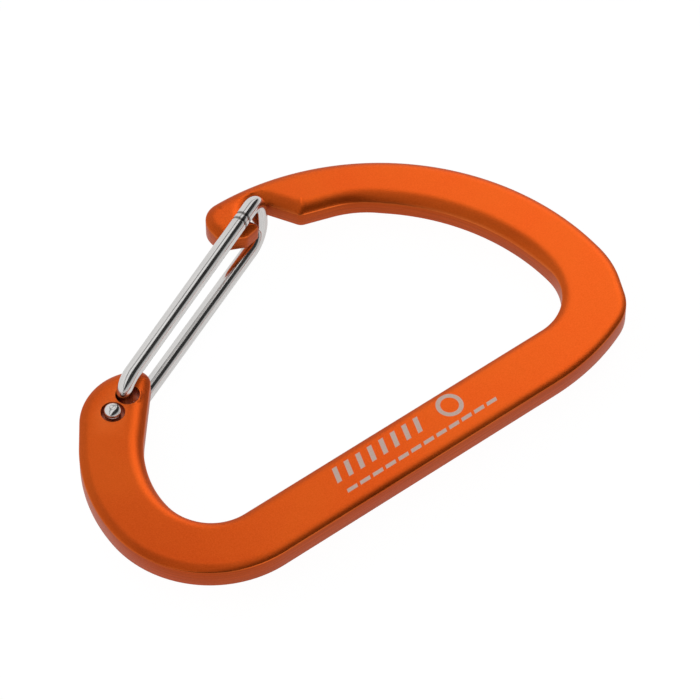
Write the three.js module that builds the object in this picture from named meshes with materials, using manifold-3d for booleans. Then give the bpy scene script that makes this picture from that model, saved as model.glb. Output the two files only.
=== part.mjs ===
// A flat D-shaped carabiner: one plate body and one sprung wire gate.
// Millimetres. X runs along the spine, Y from the spine to the gate, Z is square to the plate.
// The wire's lowest point is at Z = 0 and the origin is under the middle of the whole part.

import * as THREE from 'three';
import { mergeVertices } from 'three/addons/utils/BufferGeometryUtils.js';
import Module from 'manifold-3d';

// Body plate
const BODY_LENGTH = 80;
const BODY_WIDTH = 52.2;
const PLATE_THICKNESS = 3.5;
const EDGE_BEVEL = 0.4;
const SPINE_BAND = 8.05;
const HINGE_SIDE_BAND = 8.3;
const CLOSED_SIDE_BAND = 7.75;
const ARM_BAND = 7.2;

// Corner radii of the body
const HEEL_RADIUS = 15.8;
const CROWN_RADIUS = 36.7;
const INNER_HEEL_RADIUS = 7;
const INNER_TOE_RADIUS = 7.6;
const INNER_CROWN_RADIUS = 31;
const INNER_CROWN_BELOW_HINGE = 3;

// The toe is three blended corners, each [inset from the closed end, height, radius].
const TOE_CORNERS = [[12.5, 0, 34], [3.55, 3.75, 7], [0, 11.4, 14.4]];

// The arm bends down towards the notch at a corner this far from mid-length and this far inwards.
const ARM_CORNER_FROM_CENTRE = 19.1;
const ARM_CORNER_DROP = 3.5;
const ARM_CORNER_RADIUS = 14;

// Gate hinge: two pin holes on one line through the hinge axis
const HINGE_FROM_END = 12.4;
const HINGE_HEIGHT = 32;
const PIN_LINE_DEG = 20;
const GATE_SWING_DEG = 22;
const REAR_PIN_REACH = 1.12;
const HOLE_WEB = 0.25;

// Corners round the hinge, each [from the hinge along X, from the hinge along Y, radius].
// A flank's corner keeps to its side of the body, so it has only the last two.
const FLANK = [-8.45, 24];
const INNER_FLANK = [-10.5, 17];
const HINGE_TOP = [-1.9, 5.9, 8.8];
const HINGE_TIP = [8.15, 3.4, 2];

// Gate wire
const WIRE_DIAMETER = 2.2;
const PIN_SIDE_GAP = 0.056;
const LEG_CLEARANCE = 0.8;
const PIN_BEND_RADIUS = 2.3;
const UPPER_LOOP_RADIUS = 2.1;
const LOWER_LOOP_RADIUS = 3.4;
const LOOP_POST_SHARE = 0.9;
const UPPER_LOOP_REACH = 0.4;
const UPPER_LOOP_LIFT = 0.05;
const LOWER_LOOP_REACH = -0.1;
const LOWER_LOOP_DROP = 0.55;
const PIN_HEAD_SPREAD = 0.08;
const PIN_HEAD_STAND = 1.05;
const PIN_HEAD_DOME = 0.75;
const PIN_END_ABOVE_FACE = 0.35;

// Nose: where the wire's loop post rests, and the clearances of the notch round it
const POST_FROM_CENTRE = 7.3;
const POST_BELOW_CROWN = 4.2;
const NOTCH_END_GAP = 0.22;
const NOTCH_BACK_GAP = 0.57;
const NOTCH_LIP_GAP = 0.8;
const NOTCH_CORNER_RADIUS = 1.5;
const NOTCH_MOUTH_DEPTH = 5.5;
const NOTCH_MOUTH_FLARE = 0.6;
const NOTCH_MOUTH_RADIUS = 1.5;

// Outside of the nose: how far its front stands before the post, and the corners of its heel, each
// [from the notch's lip along the gate, below the notch's end, radius]
const NOSE_REACH = 7.4;
const NOSE_TOP_RADIUS = 3.2;
const NOSE_HEEL_CORNERS = [[-5, -0.75, 1.5], [-2.6, 2.2, 1], [0.1, 2.85, 0.6]];

// Fineness of the facets: an arc's step, and the sides and steps of round pieces
const ARC_STEP = THREE.MathUtils.degToRad(7);
const SHORTEST_FACET = 0.02;
const MOST_OF_A_SIDE = 0.999;
const HOLE_SIDES = 36;
const WIRE_SIDE_SEGMENTS = 7;
const WIRE_STEPS = 120;
const HEAD_SIDES = 24;
const HEAD_STEPS = 6;


// The gate turns about a line between its two pin holes. The rear pin stays in the middle of its
// hole, and the front pin crosses its own as the gate opens, so both holes are wider by that travel.
const HALF_SWING = THREE.MathUtils.degToRad(GATE_SWING_DEG / 2);
const SWING_SHARE = Math.sin(HALF_SWING);
const PIN_HOLE_CLEARANCE = (PIN_SIDE_GAP + (WIRE_DIAMETER + HOLE_WEB - REAR_PIN_REACH) * SWING_SHARE)
  / (1 - 2 * SWING_SHARE);

const HALF_LENGTH = BODY_LENGTH / 2;
const WIRE_RADIUS = WIRE_DIAMETER / 2;
const PIN_HOLE_RADIUS = WIRE_RADIUS + PIN_HOLE_CLEARANCE;
const LEG_OFFSET = PLATE_THICKNESS / 2 + LEG_CLEARANCE + WIRE_RADIUS;
const PLATE_BOTTOM = LEG_CLEARANCE + WIRE_DIAMETER;
const PLATE_MIDDLE = PLATE_BOTTOM + PLATE_THICKNESS / 2;

const point = (x, y) => new THREE.Vector2(x, y);
const direction = (degrees) => {
  const angle = THREE.MathUtils.degToRad(degrees);
  return point(Math.cos(angle), Math.sin(angle));
};

// Places in the body's own plan: the spine's outer edge is Y = 0 and X = 0 is mid-length.
const hinge = point(HINGE_FROM_END - HALF_LENGTH, HINGE_HEIGHT);
const post = point(POST_FROM_CENTRE, BODY_WIDTH - POST_BELOW_CROWN);
const gateAlong = post.clone().sub(hinge).normalize();
const gateOutward = point(-gateAlong.y, gateAlong.x);

const frontPinReach = 2 * PIN_HOLE_RADIUS + HOLE_WEB - REAR_PIN_REACH;
const frontHole = direction(PIN_LINE_DEG).multiplyScalar(frontPinReach).add(hinge);
const rearHole = direction(PIN_LINE_DEG + 180).multiplyScalar(REAR_PIN_REACH).add(hinge);
const frontPin = direction(PIN_LINE_DEG + GATE_SWING_DEG / 2).multiplyScalar(frontPinReach).add(hinge);
const rearPin = rearHole;

// A place beside the post, along the gate and outward from it
function besidePost(along, outward) {
  return post.clone().addScaledVector(gateAlong, along).addScaledVector(gateOutward, outward);
}

// Draws a closed outline whose corners, each [place, radius], are rounded by arcs.
// Where two arcs would meet on a short side, both radii are limited by that side.
function roundedOutline(corners) {
  const sides = corners.map(([corner], i) => corners[(i + 1) % corners.length][0].clone().sub(corner));
  const halfTurns = sides.map((side, i) => sides.at(i - 1).angleTo(side) / 2);
  const reaches = corners.map(([, radius], i) => radius * Math.tan(halfTurns[i]));
  const shares = sides.map((side, i) => {
    return Math.min(1, MOST_OF_A_SIDE * side.length() / (reaches[i] + reaches[(i + 1) % corners.length]));
  });
  const outline = [];
  corners.forEach(([corner, radius], i) => {
    const r = radius * Math.min(shares.at(i - 1), shares[i]);
    const arriving = sides.at(i - 1).clone().normalize();
    const leaving = sides[i].clone().normalize();
    const centre = leaving.clone().sub(arriving).normalize()
      .multiplyScalar(r / Math.cos(halfTurns[i])).add(corner);
    const start = corner.clone().addScaledVector(arriving, -r * Math.tan(halfTurns[i]));
    const turn = 2 * halfTurns[i] * Math.sign(arriving.cross(leaving));
    const steps = Math.ceil(Math.abs(turn) / ARC_STEP);
    for (let k = 0; k <= steps; k += 1) {
      outline.push(start.clone().rotateAround(centre, turn * k / steps));
    }
  });
  return outline.filter((place, i) => place.distanceTo(outline.at(i - 1)) > SHORTEST_FACET);
}

function bodyOutline() {
  const innerLeft = HINGE_SIDE_BAND - HALF_LENGTH;
  const innerRight = HALF_LENGTH - CLOSED_SIDE_BAND;
  const notchLip = -(WIRE_RADIUS + NOTCH_LIP_GAP);
  const notchBack = WIRE_RADIUS + NOTCH_BACK_GAP;
  const notchEnd = WIRE_RADIUS + NOTCH_END_GAP;
  const toe = TOE_CORNERS.map(([inset, height, radius]) => [point(HALF_LENGTH - inset, height), radius]);
  const noseHeel = NOSE_HEEL_CORNERS.map(([back, below, radius]) => {
    return [besidePost(notchLip + back, notchEnd - below), radius];
  });
  return roundedOutline([
    [point(-HALF_LENGTH, 0), HEEL_RADIUS],
    ...toe,
    [point(HALF_LENGTH, BODY_WIDTH), CROWN_RADIUS],
    [point(POST_FROM_CENTRE - NOSE_REACH, BODY_WIDTH), NOSE_TOP_RADIUS],
    ...noseHeel,
    [besidePost(notchLip, notchEnd), NOTCH_CORNER_RADIUS],
    [besidePost(notchBack, notchEnd), NOTCH_CORNER_RADIUS],
    [besidePost(notchBack + NOTCH_MOUTH_FLARE, -NOTCH_MOUTH_DEPTH), NOTCH_MOUTH_RADIUS],
    [point(ARM_CORNER_FROM_CENTRE, BODY_WIDTH - ARM_BAND - ARM_CORNER_DROP), ARM_CORNER_RADIUS],
    [point(innerRight, hinge.y - INNER_CROWN_BELOW_HINGE), INNER_CROWN_RADIUS],
    [point(innerRight, SPINE_BAND), INNER_TOE_RADIUS],
    [point(innerLeft, SPINE_BAND), INNER_HEEL_RADIUS],
    [point(innerLeft, hinge.y + INNER_FLANK[0]), INNER_FLANK[1]],
    [hinge.clone().add(point(HINGE_TIP[0], HINGE_TIP[1])), HINGE_TIP[2]],
    [hinge.clone().add(point(HINGE_TOP[0], HINGE_TOP[1])), HINGE_TOP[2]],
    [point(-HALF_LENGTH, hinge.y + FLANK[0]), FLANK[1]],
  ]);
}

function bodyGeometry() {
  const plate = new THREE.ExtrudeGeometry(new THREE.Shape(bodyOutline()), {
    depth: PLATE_THICKNESS - 2 * EDGE_BEVEL,
    bevelThickness: EDGE_BEVEL,
    bevelSize: EDGE_BEVEL,
    bevelOffset: -EDGE_BEVEL,
    bevelSegments: 2,
  });
  plate.translate(0, 0, PLATE_BOTTOM + EDGE_BEVEL);
  let solid = toSolid(plate);
  for (const centre of [frontHole, rearHole]) {
    const drill = new THREE.CylinderGeometry(PIN_HOLE_RADIUS, PIN_HOLE_RADIUS, 2 * PLATE_THICKNESS, HOLE_SIDES);
    drill.rotateX(Math.PI / 2);
    drill.translate(centre.x, centre.y, PLATE_MIDDLE);
    solid = solid.subtract(toSolid(drill));
  }
  return toGeometry(solid);
}

// A circular bend of the wire between two straight stretches
class Bend extends THREE.Curve {
  constructor(before, corner, after, radius) {
    super();
    const back = before.clone().sub(corner).normalize();
    const forward = after.clone().sub(corner).normalize();
    this.halfTurn = (Math.PI - back.angleTo(forward)) / 2;
    this.radius = radius;
    this.start = corner.clone().addScaledVector(back, radius * Math.tan(this.halfTurn));
    this.end = corner.clone().addScaledVector(forward, radius * Math.tan(this.halfTurn));
    this.centre = back.clone().add(forward).normalize()
      .multiplyScalar(radius / Math.cos(this.halfTurn)).add(corner);
    this.axis = forward.clone().cross(back).normalize();
  }

  getPoint(t, target = new THREE.Vector3()) {
    return target.copy(this.start).sub(this.centre)
      .applyAxisAngle(this.axis, 2 * this.halfTurn * t).add(this.centre);
  }
}

function wirePath() {
  const place = (plan, z) => new THREE.Vector3(plan.x, plan.y, z);
  const top = PLATE_MIDDLE + LEG_OFFSET;
  const bottom = PLATE_MIDDLE - LEG_OFFSET;
  const corners = [
    place(frontPin, PLATE_BOTTOM + PIN_END_ABOVE_FACE),
    place(frontPin, top),
    place(besidePost(UPPER_LOOP_REACH, UPPER_LOOP_LIFT), top),
    place(besidePost(LOWER_LOOP_REACH, -LOWER_LOOP_DROP), bottom),
    place(rearPin, bottom),
    place(rearPin, PLATE_BOTTOM + PLATE_THICKNESS + PIN_HEAD_STAND - WIRE_RADIUS),
  ];
  const loopShare = Math.min(1, LOOP_POST_SHARE * 2 * LEG_OFFSET / (UPPER_LOOP_RADIUS + LOWER_LOOP_RADIUS));
  const radii = [
    0,
    PIN_BEND_RADIUS,
    UPPER_LOOP_RADIUS * loopShare,
    LOWER_LOOP_RADIUS * loopShare,
    PIN_BEND_RADIUS,
    0,
  ];
  const path = new THREE.CurvePath();
  let last = corners[0];
  for (let i = 1; i < corners.length - 1; i += 1) {
    const bend = new Bend(corners[i - 1], corners[i], corners[i + 1], radii[i]);
    path.add(new THREE.LineCurve3(last, bend.start));
    path.add(bend);
    last = bend.end;
  }
  path.add(new THREE.LineCurve3(last, corners.at(-1)));
  return path;
}

const wasm = await Module();
wasm.setup();

function toSolid(geometry) {
  const bare = geometry.clone();
  bare.deleteAttribute('normal');
  bare.deleteAttribute('uv');
  const merged = mergeVertices(bare, 1e-4);
  return new wasm.Manifold(new wasm.Mesh({
    numProp: 3,
    vertProperties: new Float32Array(merged.attributes.position.array),
    triVerts: new Uint32Array(merged.index.array),
  }));
}

function toGeometry(solid) {
  const mesh = solid.getMesh();
  const geometry = new THREE.BufferGeometry();
  geometry.setAttribute('position', new THREE.BufferAttribute(mesh.vertProperties, 3));
  geometry.setIndex(new THREE.BufferAttribute(mesh.triVerts, 1));
  geometry.computeVertexNormals();
  return geometry;
}

// The wire's free end above the rear hole, slightly spread and domed
function pinHeadGeometry() {
  const radius = WIRE_RADIUS + PIN_HEAD_SPREAD;
  const dome = PIN_HEAD_DOME * radius;
  const profile = [point(0, -radius), point(WIRE_RADIUS - PIN_HEAD_SPREAD, -radius)];
  for (let i = 0; i <= HEAD_STEPS; i += 1) {
    const angle = (i / HEAD_STEPS) * Math.PI / 2;
    profile.push(point(radius * Math.cos(angle), dome * Math.sin(angle)));
  }
  const geometry = new THREE.LatheGeometry(profile, HEAD_SIDES);
  geometry.rotateX(Math.PI / 2);
  geometry.translate(rearPin.x, rearPin.y, PLATE_BOTTOM + PLATE_THICKNESS + PIN_HEAD_STAND - dome);
  return geometry;
}

function gateGeometry() {
  const section = new THREE.Shape().absarc(0, 0, WIRE_RADIUS, 0, 2 * Math.PI);
  const wire = new THREE.ExtrudeGeometry(section, {
    steps: WIRE_STEPS,
    curveSegments: WIRE_SIDE_SEGMENTS,
    extrudePath: wirePath(),
  });
  return toGeometry(toSolid(wire).add(toSolid(pinHeadGeometry())));
}

function mesh(name, geometry, material) {
  const result = new THREE.Mesh(geometry, material);
  result.name = name;
  return result;
}

const anodised = new THREE.MeshStandardMaterial({ color: 0xd8521a, roughness: 0.45, metalness: 0.6 });
const brightSteel = new THREE.MeshStandardMaterial({ color: 0xc9c7c3, roughness: 0.15, metalness: 1 });

const carabiner = new THREE.Group();
carabiner.add(mesh('body_plate', bodyGeometry(), anodised));
carabiner.add(mesh('wire_gate', gateGeometry(), brightSteel));
carabiner.position.y = -BODY_WIDTH / 2;

export default carabiner;
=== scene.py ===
"""A flat key carabiner: an anodised plate body and a sprung gate bent from bright wire."""

import math

import bpy
import numpy as np
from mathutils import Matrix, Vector
from mathutils.geometry import delaunay_2d_cdt
from mathutils.kdtree import KDTree


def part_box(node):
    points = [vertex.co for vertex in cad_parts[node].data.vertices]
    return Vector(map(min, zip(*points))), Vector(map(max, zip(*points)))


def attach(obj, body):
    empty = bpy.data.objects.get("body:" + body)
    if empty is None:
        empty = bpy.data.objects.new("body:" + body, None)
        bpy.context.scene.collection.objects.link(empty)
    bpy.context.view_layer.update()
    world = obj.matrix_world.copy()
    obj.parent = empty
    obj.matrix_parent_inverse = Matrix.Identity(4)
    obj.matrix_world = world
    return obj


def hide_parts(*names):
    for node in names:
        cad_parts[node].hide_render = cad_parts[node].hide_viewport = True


bl_info = {
    "name": "Flat key carabiner",
    "version": (1, 0, 0),
    "blender": (4, 5, 0),
    "location": "3D View > Sidebar > Carabiner",
    "description": "Makes the plate body, the wire gate and a soft white stage",
    "category": "Add Mesh",
}

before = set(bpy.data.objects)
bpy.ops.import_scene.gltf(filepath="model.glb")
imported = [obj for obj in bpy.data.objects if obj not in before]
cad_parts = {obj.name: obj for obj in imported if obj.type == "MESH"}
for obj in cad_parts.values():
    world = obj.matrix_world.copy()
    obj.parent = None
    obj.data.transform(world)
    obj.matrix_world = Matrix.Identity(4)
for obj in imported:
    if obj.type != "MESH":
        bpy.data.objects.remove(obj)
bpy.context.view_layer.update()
PLATE_LOW, PLATE_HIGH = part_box("body_plate")

# The plan is in millimetres: X = 0 is mid-length and Y = 0 is the spine's outer edge.
MM = 0.001
BODY_LENGTH = (PLATE_HIGH.x - PLATE_LOW.x) / MM
BODY_WIDTH = (PLATE_HIGH.y - PLATE_LOW.y) / MM
PLATE_THICKNESS = (PLATE_HIGH.z - PLATE_LOW.z) / MM
PLATE_BOTTOM = PLATE_LOW.z / MM
PLATE_MIDDLE = PLATE_BOTTOM + PLATE_THICKNESS / 2
HALF_LENGTH = BODY_LENGTH / 2

SPINE_BAND = 8.05
HINGE_SIDE_BAND = 8.3
CLOSED_SIDE_BAND = 7.75
ARM_BAND = 7.2
HEEL_RADIUS = 15.8
CROWN_RADIUS = 36.7
INNER_HEEL_RADIUS = 7
INNER_TOE_RADIUS = 7.6
INNER_CROWN_RADIUS = 31
INNER_CROWN_BELOW_HINGE = 3
# Toe corners: inset from the closed end, height, radius
TOE_CORNERS = ((12.5, 0, 34), (3.55, 3.75, 7), (0, 11.4, 14.4))
ARM_CORNER_FROM_CENTRE = 19.1
ARM_CORNER_DROP = 3.5
ARM_CORNER_RADIUS = 14

# Hinge: two pin holes on a line through the axis the gate turns about
HINGE = np.array((12.4 - HALF_LENGTH, 32.0))
PIN_LINE_DEG = 20
GATE_SWING_DEG = 22
REAR_PIN_REACH = 1.12
HOLE_WEB = 0.25
PIN_SIDE_GAP = 0.056
FLANK = (-8.45, 24)
INNER_FLANK = (-10.5, 17)
HINGE_TOP = (-1.9, 5.9, 8.8)
HINGE_TIP = (8.15, 3.4, 2)

# Gate wire
WIRE_RADIUS = 1.1
LEG_OFFSET = 3.65
PIN_BEND_RADIUS = 2.3
UPPER_LOOP_RADIUS = 2.1
LOWER_LOOP_RADIUS = 3.4
UPPER_LOOP_REACH = 0.4
UPPER_LOOP_LIFT = 0.05
LOWER_LOOP_REACH = -0.1
LOWER_LOOP_DROP = 0.55
PIN_HEAD_SPREAD = 0.08
PIN_HEAD_STAND = 1.05
PIN_HEAD_DOME = 0.75
PIN_END_ABOVE_FACE = 0.35

# Nose and notch
POST = np.array((7.3, BODY_WIDTH - 4.2))
NOTCH_END_GAP = 0.22
NOTCH_BACK_GAP = 0.57
NOTCH_LIP_GAP = 0.8
NOTCH_CORNER_RADIUS = 1.5
NOTCH_MOUTH_DEPTH = 5.5
NOTCH_MOUTH_FLARE = 0.6
NOTCH_MOUTH_RADIUS = 1.5
NOSE_REACH = 7.4
NOSE_TOP_RADIUS = 3.2
# Nose heel corners: along the gate from the notch's lip, below the notch's end, radius
NOSE_HEEL_CORNERS = ((-5, -0.75, 1.5), (-2.6, 2.2, 1), (0.1, 2.85, 0.6))

SWING_SHARE = math.sin(math.radians(GATE_SWING_DEG / 2))
HOLE_RADIUS = WIRE_RADIUS + (
    PIN_SIDE_GAP + (2 * WIRE_RADIUS + HOLE_WEB - REAR_PIN_REACH) * SWING_SHARE
) / (1 - 2 * SWING_SHARE)
FRONT_PIN_REACH = 2 * HOLE_RADIUS + HOLE_WEB - REAR_PIN_REACH

# Fineness of the plate's mesh, in millimetres where it is a length
ARC_STEP = math.radians(5)
LONGEST_EDGE = 0.5
SHORTEST_EDGE = 0.03
MOST_OF_A_SIDE = 0.999
HOLE_SIDES = 72
SHOULDER_STEPS = (0.14, 0.28, 0.42, 0.56, 0.7, 0.84, 0.93, 1.0)
FLAT_RING = 0.15
SHOULDER_POWER = 2.6
CLEAR_OF_MIDDLE = 0.88
FILL_SPACING = 0.22
STYLE_BLEND = 5.0
# How far the spine's own inner edge goes from the outer edges' shape (0) to the opening's (1)
SPINE_SIDE = 0.0
# Rows over a ridge, in shares of its rounding: distance in, where the face's height is taken
# and depth below it, then the row's ridge and wall values
RIDGE_ROWS = (
    (0.0, 0.0, 1.0, 0.0, 1.0),
    (0.12, 0.0, 0.42, 1.0, 0.5),
    (0.45, 0.45, 0.12, 1.0, 0.0),
    (1.0, 1.0, 0.0, 0.55, 0.0),
)
# Rows over a hole's rim, in shares of its rounding: distance out, depth, ridge and wall values
HOLE_RIM_ROWS = (
    (0.0, 1.0, 0.3, 0.5),
    (0.12, 0.45, 1.0, 0.0),
    (0.45, 0.12, 1.0, 0.0),
    (1.0, 0.0, 0.4, 0.0),
)
# Clear space round the filling, in shares of its spacing
CLEAR_OF_BORDER = 0.4
CLEAR_OF_HOLE = 0.5
TOUCHING = 1e-4
OUT_OF_REACH = 1e3
FILL_MERGE = 1e-7

# Fineness of the wire's mesh, its tool marks and its shaped ends, in millimetres. The tool marks
# are measured along the upper leg from the corner of the loop.
WIRE_BEND_STEPS = 24
WIRE_STEP = 0.08
TOOL_MARKS = (4.2, 5.2)
TOOL_MARK_HALF_WIDTH = 0.26
TOP_LEG_SLACK = 1e-3
PIN_CHAMFER = 0.15
CHAMFER_STEPS = 3
CHAMFER_CLEARANCE = 1.3
NEAR_FOOT = 1
HEAD_RUN = 1.0
HEAD_RUN_START = 0.1
HEAD_RUN_CLEARANCE = 0.15
NEAR_HEAD = 2
NECK_BELOW_DOME = 0.16
NECK_SPREAD = 0.35
DOME_ROWS = 19
# Rows that a quarter turn would hold, so that the last one stops just short of the pole
DOME_QUARTER = 18.6
DIMPLE_RADIUS = 0.5
DIMPLE_DEPTH = 0.12

# Print on the spine: soft edge and depth below the top face in metres, lean of its bars
PRINT_SOFTNESS = 0.00005
PRINT_DEPTH = (0.0004, 0.0001)
PRINT_LEAN = 0.35
# Printed rows in plan millimetres: place, bars, pitch, half a bar's thickness and half its height
PRINT_ROWS = (
    {"x": -5.0, "y": 5.5, "bars": 8, "pitch": 1.9, "bar": 0.36, "tall": 1.15},
    {"x": 0.2, "y": 2.6, "bars": 12, "pitch": 2.1, "bar": 0.8, "tall": 0.27},
)
PRINT_RING = {"place": (7.0, 5.5), "radius": 1.55, "half_stroke": 0.3}

# Stretches of a noise texture's values, each spread over a look's whole range
MIDDLE_NOISE = (0.35, 0.65)
BROAD_NOISE = (0.3, 0.7)
FLECK_NOISE = (0.3, 0.75)
WALL_STREAK_NOISE = (0.35, 0.62)
PRINT_NOISE = (0.25, 0.5)
SPOT_NOISE = (0.55, 0.75)
STREAK_SCALE = 90.0

# Anodised finish
PLATE_GRAIN = {"Grain scale": 5200, "Cloud scale": 75, "Stretch": 60}
FLECK_STRENGTH = 0.22
FLECK_GAIN = 1.5
FLECK_LIFT = 0.02
WALL_STREAK_STRENGTH = 0.45
WALL_STREAK_SHADE = 0.6
WALL_STREAK_HEIGHT = 0.8
# Ridges and hole rims lighten towards this colour: partly dye rubbed off the edge, partly a
# painted highlight along it
RIDGE_WEAR_AND_HIGHLIGHT = (0.2, 0.55)
RIDGE_WEAR_AND_HIGHLIGHT_COLOUR = (0.82, 0.2, 0.045)
RIDGE_POLISH = 0.1
PRINT_COVER = (0.72, 0.95)
PRINT_ROUGHNESS = 0.15
PLATE_ROUGHNESS = (0.36, 0.44)
# Metal share of the bare finish and of the print
PLATE_METAL = (0.9, 0.1)
PLATE_BUMP = {"Strength": 0.22, "Distance": 0.00004}

# Steel finish
WIRE_GRAIN = {"Grain scale": 7000, "Cloud scale": 220}
STREAKS_AROUND = 9.0
STREAKS_ALONG = 160.0
STREAK_SHADE = 0.84
SPOT_STRENGTH = 0.35
SPOT_SHADE = 0.78
WIRE_ROUGHNESS = (0.09, 0.2)
GRAIN_HEIGHT = 0.15
WIRE_BUMP = {"Strength": 0.3, "Distance": 0.00002}
# Near-black colour painted into the two tool marks as the shade in their grooves
MARK_SHADE_COLOUR = (0.2, 0.19, 0.18)
# Share of a mark's depth at which its painted shade is full
MARK_SHADE_FULL = 0.7
# The stretch of the wire, in metres along it, that holds the tool marks and their painted shade
MARKS_START = 0.01
MARKS_END = 0.06

# Stage
AIM = Vector((2.855, -4.581, 5.31)) * MM
CAMERA_BACK = Vector((-0.37886, -0.49048, 0.78479))
SENSOR_WIDTH = 36
NEAREST_SEEN = 0.01
KEY_PLACE, KEY_TARGET = (0.26, 0.14, 0.26), (0.02, 0, 0)
FILL_PLACE, FILL_TARGET = (0.0, -0.5, 0.16), (0, 0, 0)
LAMP_SIZE = 0.3
LAMP_COLOUR = (1, 0.84, 0.62)
# Brightness of the surroundings round the gate's own direction, from the front floor line over
# the top to the back floor line: share of the turn, brightness
SKY_BANDS = (
    (0.0, 0.85),
    (0.168, 0.92),
    (0.182, 0.2),
    (0.2, 0.2),
    (0.214, 0.95),
    (0.275, 1.0),
    (0.29, 0.035),
    (0.405, 0.035),
    (0.425, 0.5),
    (0.5, 0.7),
    (1.0, 0.7),
)
FLOOR_WHITE = (0.85, 0.85, 0.85, 1)
FLOOR_BRIGHTNESS = 1.05
# Share of the floor's brightness that is its own, to the metal and to the camera
FLOOR_GLOW = 0.65
FLOOR_GLOW_SEEN = 0.93


def direction(degrees):
    """The plan direction at this angle from X."""
    return np.array((math.cos(math.radians(degrees)), math.sin(math.radians(degrees))))


GATE_ALONG = (POST - HINGE) / np.linalg.norm(POST - HINGE)
GATE_OUTWARD = np.array((-GATE_ALONG[1], GATE_ALONG[0]))
FRONT_HOLE = HINGE + FRONT_PIN_REACH * direction(PIN_LINE_DEG)
REAR_HOLE = HINGE - REAR_PIN_REACH * direction(PIN_LINE_DEG)
HOLES = (FRONT_HOLE, REAR_HOLE)
FRONT_PIN = HINGE + FRONT_PIN_REACH * direction(PIN_LINE_DEG + GATE_SWING_DEG / 2)
TOP_LEG = PLATE_MIDDLE + LEG_OFFSET
BOTTOM_LEG = PLATE_MIDDLE - LEG_OFFSET
HEAD_TOP = PLATE_BOTTOM + PLATE_THICKNESS + PIN_HEAD_STAND


def beside_post(along, outward):
    """A plan place measured from the post, along the gate and outward from it."""
    return POST + along * GATE_ALONG + outward * GATE_OUTWARD


def in_frame(x, y, z):
    """A plan place in millimetres as a place in the frame, in metres."""
    return Vector((x * MM, y * MM + PLATE_LOW.y, z * MM))


# ---------------------------------------------------------------- settings


class CARABINER_PG_plate(bpy.types.PropertyGroup):
    """The shaping of the plate's edges, and its finish."""

    outer_drop: bpy.props.FloatProperty(
        name="Outer shoulder drop",
        description="How far the outer edges fall below the face",
        default=0.37 * MM,
        unit="LENGTH",
        precision=5,
    )
    outer_width: bpy.props.FloatProperty(
        name="Outer shoulder width",
        description="How wide the fall is at the outer edges",
        default=1.4 * MM,
        unit="LENGTH",
        precision=5,
    )
    inner_drop: bpy.props.FloatProperty(
        name="Inner shoulder drop",
        description="How far the edges round the opening fall below the upper face",
        default=0.95 * MM,
        unit="LENGTH",
        precision=5,
    )
    inner_width: bpy.props.FloatProperty(
        name="Inner shoulder width",
        description="How wide the fall is round the opening",
        default=2.2 * MM,
        unit="LENGTH",
        precision=5,
    )
    under_drop: bpy.props.FloatProperty(
        name="Under shoulder drop",
        description="How far all the edges fall at the under face",
        default=0.4 * MM,
        unit="LENGTH",
        precision=5,
    )
    ridge_radius: bpy.props.FloatProperty(
        name="Ridge rounding",
        description="Rounding between a shoulder and the wall",
        default=0.1 * MM,
        unit="LENGTH",
        precision=5,
    )
    hole_rounding: bpy.props.FloatProperty(
        name="Hole rounding",
        description="Rounding of the rims of the pin holes",
        default=0.08 * MM,
        unit="LENGTH",
        precision=5,
    )
    colour: bpy.props.FloatVectorProperty(
        name="Anodised colour",
        description="Colour of the dyed aluminium",
        default=(0.52, 0.078, 0.004),
        min=0,
        max=1,
        subtype="COLOR",
    )
    shade_colour: bpy.props.FloatVectorProperty(
        name="Deeper anodised colour",
        description="Colour where the dye has taken more deeply",
        default=(0.465, 0.058, 0.002),
        min=0,
        max=1,
        subtype="COLOR",
    )
    print_colour: bpy.props.FloatVectorProperty(
        name="Print colour",
        description="Colour of the printed dashes on the spine",
        default=(0.55, 0.45, 0.42),
        min=0,
        max=1,
        subtype="COLOR",
    )


class CARABINER_PG_gate(bpy.types.PropertyGroup):
    """The sizes of the wire's mesh, and its finish."""

    wire_radius: bpy.props.FloatProperty(
        name="Wire radius",
        description="Radius of the gate's wire",
        default=WIRE_RADIUS * MM,
        unit="LENGTH",
        precision=5,
    )
    sides: bpy.props.IntProperty(
        name="Sides",
        description="Sides of the wire's section",
        default=40,
        min=12,
    )
    colour: bpy.props.FloatVectorProperty(
        name="Steel colour",
        description="Colour of the bright drawn steel",
        default=(0.78, 0.765, 0.75),
        min=0,
        max=1,
        subtype="COLOR",
    )
    mark_depth: bpy.props.FloatProperty(
        name="Tool mark depth",
        description="Depth of the two small marks left by the bending tool",
        default=0.09 * MM,
        unit="LENGTH",
        precision=5,
    )


class CARABINER_PG_stage(bpy.types.PropertyGroup):
    """The floor, the light and the camera."""

    floor_size: bpy.props.FloatProperty(
        name="Floor size",
        description="Length of the floor's sides",
        default=6.0,
        unit="LENGTH",
    )
    lens: bpy.props.FloatProperty(
        name="Lens",
        description="Focal length of the camera",
        default=216.0,
        unit="CAMERA",
    )
    distance: bpy.props.FloatProperty(
        name="Camera distance",
        description="From the camera to the point that it looks at",
        default=0.5586,
        unit="LENGTH",
    )
    key_power: bpy.props.FloatProperty(
        name="Key light",
        description="Power of the large light beyond the closed end",
        default=0.52,
        unit="POWER",
    )
    fill_power: bpy.props.FloatProperty(
        name="Fill light",
        description="Power of the low light in front of the spine",
        default=0.35,
        unit="POWER",
    )
    sky_strength: bpy.props.FloatProperty(
        name="Surroundings",
        description="Brightness of the white surroundings",
        default=1.0,
        min=0,
    )


# ---------------------------------------------------------------- plate shape


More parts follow.
